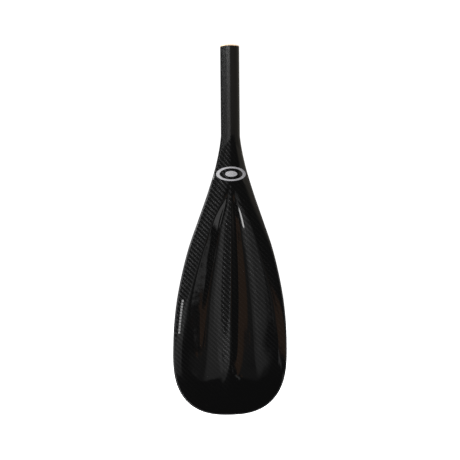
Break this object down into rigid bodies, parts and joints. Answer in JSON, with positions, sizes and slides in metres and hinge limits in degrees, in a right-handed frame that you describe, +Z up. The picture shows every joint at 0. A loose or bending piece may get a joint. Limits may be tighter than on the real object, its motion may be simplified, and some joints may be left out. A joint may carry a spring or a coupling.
{
  "type": "single blade paddle",
  "caption": "Carbon paddle blade with a centre ridge between shallow flutes, angled to a short round neck tube whose open end is a socket for a shaft.",
  "frame": {"origin": "centre of the shaft socket's mouth, at the top end of the neck tube", "axes": "+Z up along the neck tube and out of the socket; the blade hangs below; -Y is the power face's side; +X to the right when looking at the power face"},
  "size_m": [0.1838, 0.0836, 0.5864],
  "materials": {
    "tube_carbon": "satin clear-coated carbon tube with faint lengthwise streaks",
    "liner_glass_fibre": "matte tan glass-fibre laminate",
    "plug_foam": "matte closed-cell foam",
    "spar_carbon": "uncoated carbon laminate",
    "core_foam": "rigid PVC foam",
    "skin_carbon": "glossy clear-coated twill carbon",
    "rail_plastic": "satin black ABS",
    "emblem_silver": "satin silver foil",
    "mark_ink": "pale grey printed ink"
  },
  "bodies": {
    "root": {"neck_tube": "tube_carbon", "socket_liner": "liner_glass_fibre", "socket_plug": "plug_foam", "spar_shell": "spar_carbon", "spar_foam": "core_foam", "core_left": "core_foam", "core_right": "core_foam", "front_skin": "skin_carbon", "back_skin": "skin_carbon", "edge_rail": "rail_plastic", "emblem": "emblem_silver", "edge_marks": "mark_ink"}
  },
  "joints": []
}
